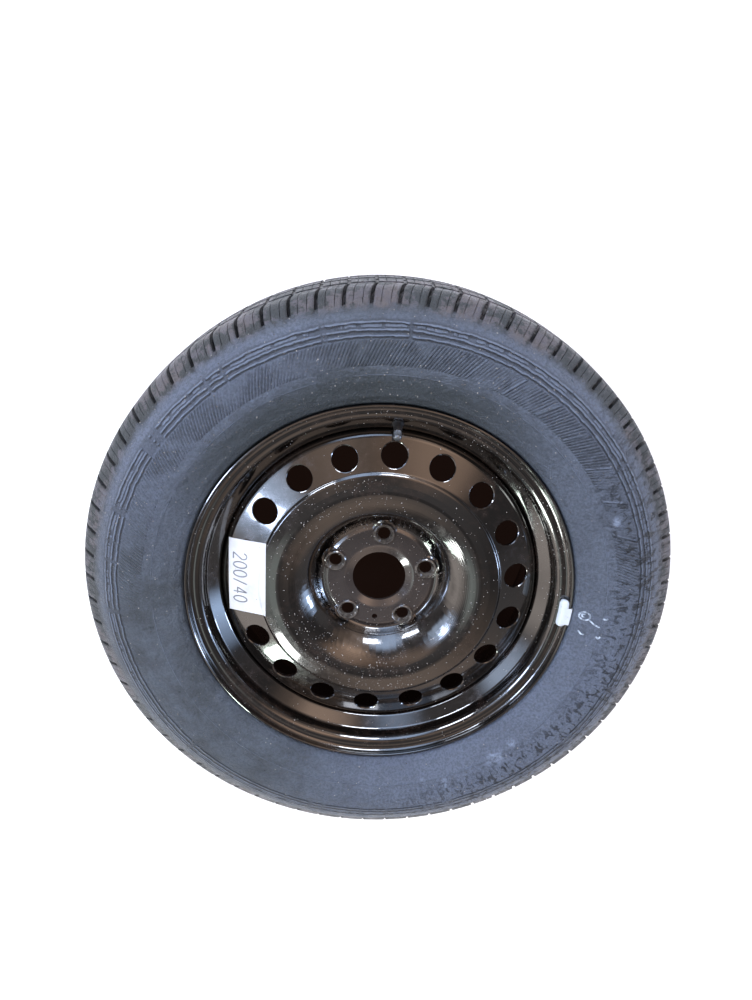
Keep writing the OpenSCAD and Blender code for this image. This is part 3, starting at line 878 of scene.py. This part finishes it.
@dataclass
class SteelWheel:
    """The rim, the disc and the small parts that keep their CAD shape."""

    finishes: dict[str, str] = field(default_factory=lambda: {
        "rim": "enamel", "disc": "enamel", "disc_welds": "enamel", "valve_body": "valve_rubber",
        "valve_stem": "brass", "core_plug": "brass", "core_barrel": "brass", "barrel_gasket": "gasket",
        "core_pin": "steel", "pin_cup": "brass", "cup_gasket": "valve_rubber", "core_spring": "steel",
        "valve_cap": "cap", "cap_seal": "valve_rubber", "balance_weight": "coat", "weight_clip": "coat",
        "label": "label"})

    def build(self, finishes: Finishes) -> None:
        """Dresses every CAD node that is shown."""
        for node, finish in self.finishes.items():
            dress(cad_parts[node], getattr(finishes, finish))
            LOG.info("%s dressed as %s", node, finish)


def about_valve(radius: np.ndarray, turn: np.ndarray, height: np.ndarray) -> np.ndarray:
    """Points about the valve's axis.

    A point is the axis' foot + r (cos t * right + sin t * forward) + h * axis, with the directions square.

    Args:
        radius: distances r from the axis in mm.
        turn: angles t in radians.
        height: heights h up the axis in mm.

    Returns:
        Points in metres, with the three inputs' common shape and a last side of three.
    """
    axis = unit(np.array(VALVE_AXIS))
    right = unit(np.cross([0.0, 0.0, 1.0], axis))
    r, t, h = (part[..., None] for part in np.broadcast_arrays(radius, turn, height))
    return (np.array(VALVE_AT) + r * (np.cos(t) * right + np.sin(t) * np.cross(axis, right)) + h * axis) * MM


@dataclass
class ReturnSpring:
    """Wire spring that pushes the valve's pin back."""

    foot_mm: float = 8.25
    top_mm: float = 12.55
    coil_mm: float = 0.95
    wire_mm: float = 0.16
    turns: int = 6
    travel_mm: float = 1.2

    def build(self, finishes: Finishes) -> None:
        """Builds the spring, which stands for its CAD node.

        The wire's middle climbs a helix. Its round section has the radius R + w cos s and height z + w sin s.
        """
        climb = np.linspace(0, 1, 24 * self.turns + 1)
        wire = np.full(len(climb), self.wire_mm)
        wire[[0, -1]] = 0.0
        s = around(10)
        z = self.foot_mm + self.wire_mm + climb * (self.top_mm - self.foot_mm - 2 * self.wire_mm)
        turn = climb * self.turns * 2 * math.pi
        points = about_valve(self.coil_mm + wire[:, None] * np.cos(s), turn[:, None],
                             z[:, None] + wire[:, None] * np.sin(s))
        spring = ring_object("return_spring", points)
        place_piece(spring, finishes.steel, "wheel", "core_spring")
        foot = about_valve(np.array(0.0), np.array(0.0), np.array(self.foot_mm))
        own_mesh(spring)


@dataclass
class KnurledCap:
    """Screw cap of the valve, with fine ridges round its skirt."""

    ridges: int = 26
    ridge_depth_mm: float = 0.35
    around: int = 156

    def build(self, finishes: Finishes) -> None:
        """Builds the cap, which stands for its CAD node.

        Its profile is turned about the valve's axis. Between 13 and 20.6 mm up the axis the radius is
        R - d (1 - cos(n a)) / 2 for the angle a, the ridges' depth d and their number n.
        """
        line = np.array([
            (0, 21.4), (3.95, 21.4), (3.95, 12.2), (4.45, 12.2), (4.8, 12.55), (4.8, 12.9), (4.8, 13.2),
            (4.8, 20.4), (4.8, 20.7), (4.6, 21.2), (4.15, 21.85), (3.4, 22.2), (0, 22.2)])
        share = np.interp(line[:, 1], [12.9, 13.2, 20.4, 20.7], [0, 1, 1, 0]) * (line[:, 0] == 4.8)
        angles = around(self.around)
        dip = self.ridge_depth_mm * (1 - np.cos(self.ridges * angles)) / 2
        r = line[:, 0, None] - share[:, None] * dip[None, :]
        cap = ring_object("knurled_cap", about_valve(r, angles[None, :], line[:, 1, None]), 40.0, flip=True)
        place_piece(cap, finishes.cap, "cap", "valve_cap")


@dataclass
class ClipOnWeight:
    """Balance weight cast round its clip: a soft white bar in the gutter of the outer flange."""

    angle_deg: float = 353.0
    sweep_deg: float = 9.0
    section: tuple[tuple[float, float, float], ...] = (
        (227.0, 9.1, 0), (231.8, 9.1, 5.4), (231.8, 0.6, 1.2), (228.6, -1.0, 2.4), (223.6, -1.1, 3.0),
        (220.4, 4.4, 2.6), (221.9, 9.1, 1.6), (227.0, 9.1, 0))

    def build(self, finishes: Finishes) -> None:
        """Builds the weight's body, which stands for its CAD node.

        The section shrinks towards its centre by s(u) = (1 - |u|^7)^(1/3) as u runs from -1 to 1 on the arc.
        """
        ring = raised(self.section, 12.0)[:-1]
        u = np.sin(np.linspace(-math.pi / 2, math.pi / 2, 61))
        shrink = np.maximum(1 - np.abs(u) ** 7, 0) ** (1 / 3)
        centre = ring.mean(axis=0)
        rz = centre + (ring - centre)[None, :, :] * shrink[:, None, None]
        a = np.radians(self.angle_deg + u * self.sweep_deg / 2)[:, None]
        points = np.stack([rz[..., 0] * np.cos(a), rz[..., 0] * np.sin(a), rz[..., 1]], -1) * MM
        weight = ring_object("coated_weight", points, flip=True)
        place_piece(weight, finishes.coat, "wheel", "balance_weight")


@dataclass
class LabelPrint:
    """Generic numbers on the label, in thin grey strokes that read downwards."""

    centre_mm: tuple[float, float] = (-162.8, 13.0)
    turn_deg: float = -3.0
    text: str = "200/40"
    high_mm: float = 17.0
    wide_mm: float = 8.2
    step_mm: float = 11.6
    stroke_mm: float = 1.7
    foot_mm: float = -17.5
    start_mm: float = -31.0
    paper_mm: float = 0.32
    skin: tuple[tuple[float, float, float], ...] = (
        (102.5, 14.6, 0), (124.0, 14.2, 120), (147.0, 18.3, 2.5), (149.6, 21.0, 2.5), (197.7, 37.56, 0))

    @staticmethod
    def arc(x: float, y: float, rx: float, ry: float, first: float, last: float) -> np.ndarray:
        """Part of an ellipse about (x, y) between two angles in degrees."""
        a = np.radians(np.linspace(first, last, 25))
        return np.column_stack([x + rx * np.cos(a), y + ry * np.sin(a)])

    def glyph(self, mark: str) -> list[np.ndarray]:
        """Strokes of one mark in a box one wide and one high."""
        lines = {
            "0": [self.arc(0.5, 0.5, 0.5, 0.5, 90, 450)],
            "2": [np.vstack([self.arc(0.5, 0.73, 0.48, 0.27, 165, -28), [[0.0, 0.0], [1.0, 0.0]]])],
            "4": [np.array([[1.0, 0.3], [0.0, 0.3], [0.7, 1.0], [0.7, 0.0]])],
            "/": [np.array([[0.1, -0.02], [0.7, 1.02]])],
        }
        return lines[mark]

    def build(self, finishes: Finishes) -> None:
        """Builds the print on the label.

        The reading direction is the label's own -Y and a glyph's height runs along its +X.
        """
        a = math.radians(self.turn_deg)
        right, down = np.array([math.cos(a), math.sin(a)]), np.array([math.sin(a), -math.cos(a)])
        lines = []
        for number, mark in enumerate(self.text):
            for line in self.glyph(mark):
                along = self.start_mm + number * self.step_mm + line[:, :1] * self.wide_mm
                up = self.foot_mm + line[:, 1:] * self.high_mm
                lines.append(np.array(self.centre_mm) + along * down + up * right)
        printed = strokes("label_print", lines, self.stroke_mm, raised(self.skin, 8.0), self.paper_mm)
        place_piece(printed, finishes.ink)


@dataclass
class ChalkMarks:
    """Pale chalk marks on the outer wall of the tyre: a small loop with a tail, and short rubs beside it."""

    stroke_mm: float = 2.0
    lift_mm: float = 0.9
    rubs: tuple[tuple[tuple[float, float], ...], ...] = (
        ((353.2, 256.0), (352.2, 262.0), (351.7, 269.0)), ((354.4, 270.5), (354.1, 274.0), (354.5, 276.5)),
        ((349.2, 247.0), (348.4, 251.0), (348.6, 254.5)), ((349.0, 268.0), (348.4, 271.0), (349.2, 273.0)))

    @staticmethod
    def at(degrees: float, radius: float) -> np.ndarray:
        """Point in plan at an angle and a radius in mm."""
        a = math.radians(degrees)
        return np.array([radius * math.cos(a), radius * math.sin(a)])

    def build(self, finishes: Finishes, skin: np.ndarray) -> None:
        """Builds the marks.

        Args:
            finishes: the wheel's finishes.
            skin: radius and height of the tyre's outer wall in mm.
        """
        a = np.radians(np.linspace(60, 430, 40))
        loop = self.at(354.0, 250.0) + np.column_stack([6.2 * np.cos(a), 5.2 * np.sin(a)])
        inner = self.at(354.1, 249.4) + np.column_stack([2.6 * np.cos(a[:24]), 2.2 * np.sin(a[:24])])
        tail, *rubs = (np.array([self.at(*point) for point in line]) for line in self.rubs)
        wall = skin[skin[:, 0] < SHOULDER[0]]
        marks = strokes("chalk_marks", [loop, tail, inner, *rubs], self.stroke_mm, wall, self.lift_mm)
        place_piece(marks, finishes.chalk)


@dataclass(frozen=True)
class Shower:
    """Where beads of water lie: a middle angle and its spread in degrees, two radii in mm, their number."""

    degrees: float
    spread: float
    near: float
    far: float
    count: int


@dataclass
class WaterBeads:
    """Beads of water on the paint and the rubber, as low domes on the surfaces under them."""

    seed: int = 11
    sides: int = 6
    on_paint: tuple[Shower, ...] = (
        Shower(0, 180, 35, 200, 420), Shower(245, 50, 92, 146, 460), Shower(130, 45, 112, 150, 160),
        Shower(355, 60, 95, 135, 110), Shower(80, 60, 70, 125, 70), Shower(0, 180, 36, 80, 200),
        Shower(0, 180, 205, 232, 260), Shower(40, 55, 205, 232, 150))
    on_rubber: tuple[Shower, ...] = (
        Shower(0, 180, 240, 340, 460), Shower(115, 70, 245, 345, 700), Shower(250, 60, 245, 320, 120))

    def scatter(self, chance: np.random.Generator, showers: tuple[Shower, ...]) -> np.ndarray:
        """Random points in plan, in mm, one a row."""
        rows = []
        for s in showers:
            a = np.radians(s.degrees + s.spread * chance.uniform(-1, 1, s.count))
            r = np.sqrt(chance.uniform(s.near ** 2, s.far ** 2, s.count))
            rows.append(np.column_stack([r * np.cos(a), r * np.sin(a)]))
        return np.vstack(rows)

    def settle(self, plan: np.ndarray, carriers: list[Object]) -> tuple[np.ndarray, np.ndarray]:
        """Drops points straight down onto the first carrier under them.

        Args:
            plan: x and y in mm, one point a row.
            carriers: objects that can hold a bead.

        Returns:
            Places in metres and surface normals of the points that land.
        """
        graph = bpy.context.evaluated_depsgraph_get()
        trees = [BVHTree.FromObject(obj, graph) for obj in carriers]
        places, normals = [], []
        for x, y in plan * MM:
            hits = [hit for hit in (tree.ray_cast(Vector((x, y, 1.0)), Vector((0, 0, -1))) for tree in trees)
                    if hit[0] is not None]
            if hits:
                where, normal, _, _ = min(hits, key=lambda hit: hit[3])
                if normal.z > 0.25 and where.z > 0.02:
                    places.append(where)
                    normals.append(normal)
        return np.array(places), np.array(normals)

    def domes(self, name: str, places: np.ndarray, normals: np.ndarray, radii: np.ndarray) -> Object:
        """One low dome on each place.

        A dome's point is p + s (u cos a + v sin a) cos b + n h sin b, with b at 0, 45 and 90 degrees.

        Args:
            name: name of the piece.
            places: feet of the domes in metres.
            normals: surface normals there.
            radii: radius s of each dome in metres; its height h is 0.6 of that.

        Returns:
            All domes as one object.
        """
        u = unit(np.cross(normals, [0.31, 0.95, 0.05]))
        v = np.cross(normals, u)
        a = np.arange(self.sides) * 2 * math.pi / self.sides
        rim = u[:, None] * np.cos(a)[None, :, None] + v[:, None] * np.sin(a)[None, :, None]
        s, n = radii[:, None, None], normals[:, None]
        rows = [places[:, None] + s * (rim * math.cos(b) + 0.6 * n * math.sin(b)) for b in (0.0, math.pi / 4)]
        top = places[:, None] + s * 0.6 * n
        points = np.concatenate([*rows, top], axis=1)
        k = self.sides
        i, j = np.arange(k), (np.arange(k) + 1) % k
        one = np.vstack([np.column_stack([i, j, k + j]), np.column_stack([i, k + j, k + i]),
                         np.column_stack([k + i, k + j, np.full(k, 2 * k)])])
        faces = (one[None] + (np.arange(len(places)) * (2 * k + 1))[:, None, None]).reshape(-1, 3)
        return mesh_object(name, points, faces)

    def build(self, finishes: Finishes, walls: list[Object]) -> None:
        """Builds the beads on the paint and on the rubber.

        Args:
            finishes: the wheel's finishes.
            walls: the tyre's pieces that carry beads.
        """
        chance = np.random.default_rng(self.seed)
        steel = [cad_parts["disc"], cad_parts["rim"]]
        for name, showers, carriers, slot in (("beads_on_paint", self.on_paint, steel, "black_paint"),
                                              ("beads_on_rubber", self.on_rubber, walls, "tyre_rubber")):
            places, normals = self.settle(self.scatter(chance, showers), carriers)
            radii = (0.28 + 0.5 * chance.uniform(0, 1, len(places)) ** 2.2) * MM
            place_piece(self.domes(name, places, normals, radii), finishes.bead)


@dataclass(frozen=True)
class Glow:
    """A soft patch of the room: the way to it, its inner and outer half-width in degrees, and its light."""

    way: tuple[float, float, float]
    inner: float
    outer: float
    light: tuple[float, float, float]


@dataclass(frozen=True)
class Window:
    """A soft rectangular lamp: its name, the way to it, its size in metres, its brightness and its colour."""

    name: str
    way: tuple[float, float, float]
    size: tuple[float, float]
    brightness: float
    color: str


@dataclass
class Studio:
    """Floor, lamps, world and camera."""

    floor_z: float = -0.1165
    floor_half: float = 30.0
    painted_shade_round: tuple[float, float] = (0.262, 0.268)
    photo_px: tuple[int, int] = (752, 1000)
    focal_px: float = 781.0
    camera_mm: tuple[float, float, float] = (-20.0, 432.85, 947.1)
    yaw: float = 0.01792
    pitch: float = 0.35115
    lamp_distance: float = 2.4
    gloom: tuple[float, float, float] = (0.215, 0.2, 0.2)
    glows: tuple[Glow, ...] = (
        Glow((0.3, 0.32, 0.9), 9, 23, (1.15, 0.74, 0.5)),
        Glow((-0.25, 0.25, 0.94), 6, 20, (0.55, 0.37, 0.26)),
        Glow((0.48, 0.65, 0.59), 8, 26, (0.8, 0.55, 0.4)),
        Glow((-0.76, -0.45, 0.42), 12, 30, (1.0, 0.88, 0.8)),
        Glow((0.2, -0.75, 0.6), 6, 28, (0.4, 0.28, 0.2)),
        Glow((-0.1, 0.86, 0.5), 8, 24, (1.5, 2.0, 2.9)),
        Glow((-0.33, -0.44, 0.83), 4, 14, (0.6, 0.7, 0.66)),
        Glow((-0.66, 0.1, 0.74), 5, 18, (2.4, 3.0, 4.0)),
        Glow((0.9, -0.19, 0.39), 4, 15, (2.0, 2.8, 4.2)))
    windows: tuple[Window, ...] = (
        Window("window_above", (0.17, 0.83, 0.53), (0.7, 0.42), 20.0, "#EEF3FF"),
        Window("window_beside", (-0.56, 0.68, 0.47), (0.7, 0.34), 20.0, "#E4EDFF"),
        Window("window_left", (-0.6, 0.03, 0.8), (0.34, 0.42), 24.0, "#C8DAFF"),
        Window("window_low", (-0.47, -0.77, 0.43), (0.3, 0.26), 22.0, "#E6F8EC"),
        Window("window_front", (-0.36, -0.67, 0.645), (0.3, 0.34), 22.0, "#F2F6F2"),
        Window("window_right", (0.9, -0.19, 0.38), (0.36, 0.3), 22.0, "#C6DAFF"))

    @staticmethod
    def aim(obj: Object, where: Sequence[float], *axes: Sequence[float]) -> None:
        """Shows an object at a place in metres, with its own three axes along the given directions."""
        turn = Matrix([list(axis) for axis in axes]).transposed().to_4x4()
        obj.matrix_world = Matrix.Translation(where) @ turn
        bpy.context.scene.collection.objects.link(obj)

    def camera(self) -> None:
        """Camera at the photograph's viewing point, turned by its yaw and pitch."""
        data = bpy.data.cameras.new("camera")
        data.sensor_width = 36.0
        data.lens = 36.0 * self.focal_px / max(self.photo_px)
        data.clip_start, data.clip_end = 0.05, 50.0
        obj = bpy.data.objects.new("camera", data)
        cy, sy, cp, sp = math.cos(self.yaw), math.sin(self.yaw), math.cos(self.pitch), math.sin(self.pitch)
        right, up, back = (cy, 0, sy), (sy * sp, cp, -cy * sp), (-sy * cp, sp, cy * cp)
        self.aim(obj, [c * MM for c in self.camera_mm], right, up, back)
        bpy.context.scene.camera = obj

    def floor(self) -> None:
        """Pale floor that the camera and glossy things see as white, with the wheel's soft shadow.

        Where the tyre hides it, a dark round of painted shade, which glows a faint brown, keeps the room behind
        the vents as dim as in the photograph.
        """
        corners = [(x * self.floor_half, y * self.floor_half, self.floor_z)
                   for x, y in ((-1, -1), (1, -1), (1, 1), (-1, 1))]
        obj = mesh_object("floor", np.array(corners), np.array([[0, 1, 2, 3]]))
        material = bpy.data.materials.new("pale_floor")
        t = blank_tree(material)
        place = add(t, "TexCoord", out="Object")
        flat = add(t, "VectorMath MULTIPLY", place, (1, 1, 0))
        radius = add(t, "VectorMath LENGTH", flat)
        # painted shade: the floor is dark inside the round under the wheel
        pale = add(t, "MapRange SMOOTHSTEP", radius, *self.painted_shade_round)
        color = add(t, "Mix RGBA", pale, linear("#1A120F"), linear("#E6E6E6"))
        matt = add(t, "BsdfDiffuse", {"Color": color})
        rays = add(t, "LightPath").node.outputs
        seen = add(t, "Math MAXIMUM", rays["Is Camera Ray"], rays["Is Glossy Ray"])
        seen = add(t, "Math MAXIMUM", seen, rays["Is Transmission Ray"])
        # painted light: the dark round glows a faint brown like the dim room behind the vents, and the rest of
        # the floor an even white
        tone = add(t, "Mix RGBA", pale, linear("#160D0A"), (0.5, 0.5, 0.5, 1))
        glow = add(t, "Emission", {"Color": tone, "Strength": seen})
        add(t, "OutputMaterial", {"Surface": add(t, "AddShader", matt, glow)})
        dress(obj, material)

    def lamp(self, window: Window) -> None:
        """One soft rectangular lamp that faces the wheel.

        A lamp of brightness b and area A takes a power of 4 A b.

        Args:
            window: the lamp's place, size and light.
        """
        data = bpy.data.lights.new(window.name, "AREA")
        data.shape = "RECTANGLE"
        data.size, data.size_y = window.size
        data.energy = 4 * window.size[0] * window.size[1] * window.brightness
        data.color = linear(window.color)[:3]
        obj = bpy.data.objects.new(window.name, data)
        back = unit(np.array(window.way))
        right = unit(np.cross([0.0, 0.0, 1.0], back))
        self.aim(obj, back * self.lamp_distance, right, np.cross(back, right), back)

    def light(self) -> None:
        """Dim warm room with soft patches, brown and pale, and six pale windows."""
        world = bpy.data.worlds.new("room")
        bpy.context.scene.world = world
        t = blank_tree(world)
        way = add(t, "TexCoord", out="Generated")
        level: object = self.gloom
        for glow in self.glows:
            toward = tuple(float(c) for c in unit(np.array(glow.way)))
            near = add(t, "VectorMath DOT_PRODUCT", way, toward)
            share = add(t, "MapRange SMOOTHSTEP", near, math.cos(math.radians(glow.outer)),
                        math.cos(math.radians(glow.inner)))
            level = add(t, "VectorMath MULTIPLY_ADD", share, glow.light, level)
        clutter = add(t, "TexNoise", {"Vector": way, "Scale": 2.2, "Detail": 0.6})
        dim = add(t, "MapRange", clutter, 0.38, 0.62, 0.6, 1.3)
        level = add(t, "VectorMath MULTIPLY", level, dim)
        add(t, "OutputWorld", {"Surface": add(t, "Background", {"Color": level})})
        for window in self.windows:
            self.lamp(window)

    def build(self) -> None:
        """Sets up the whole studio."""
        self.camera()
        self.floor()
        self.light()
        bpy.context.scene.view_settings.view_transform = "Standard"


def main() -> None:
    """Builds the studio, the finishes and the wheel in order."""
    logging.basicConfig(level=logging.INFO, format="%(name)s: %(message)s")
    Studio().build()
    finishes = Finishes()
    tyre = Tyre()
    walls = tyre.build(finishes)
    SteelWheel().build(finishes)
    ReturnSpring().build(finishes)
    KnurledCap().build(finishes)
    ClipOnWeight().build(finishes)
    LabelPrint().build(finishes)
    ChalkMarks().build(finishes, tyre.skin())
    WaterBeads().build(finishes, walls[:1])


if __name__ == "__main__":
    main()
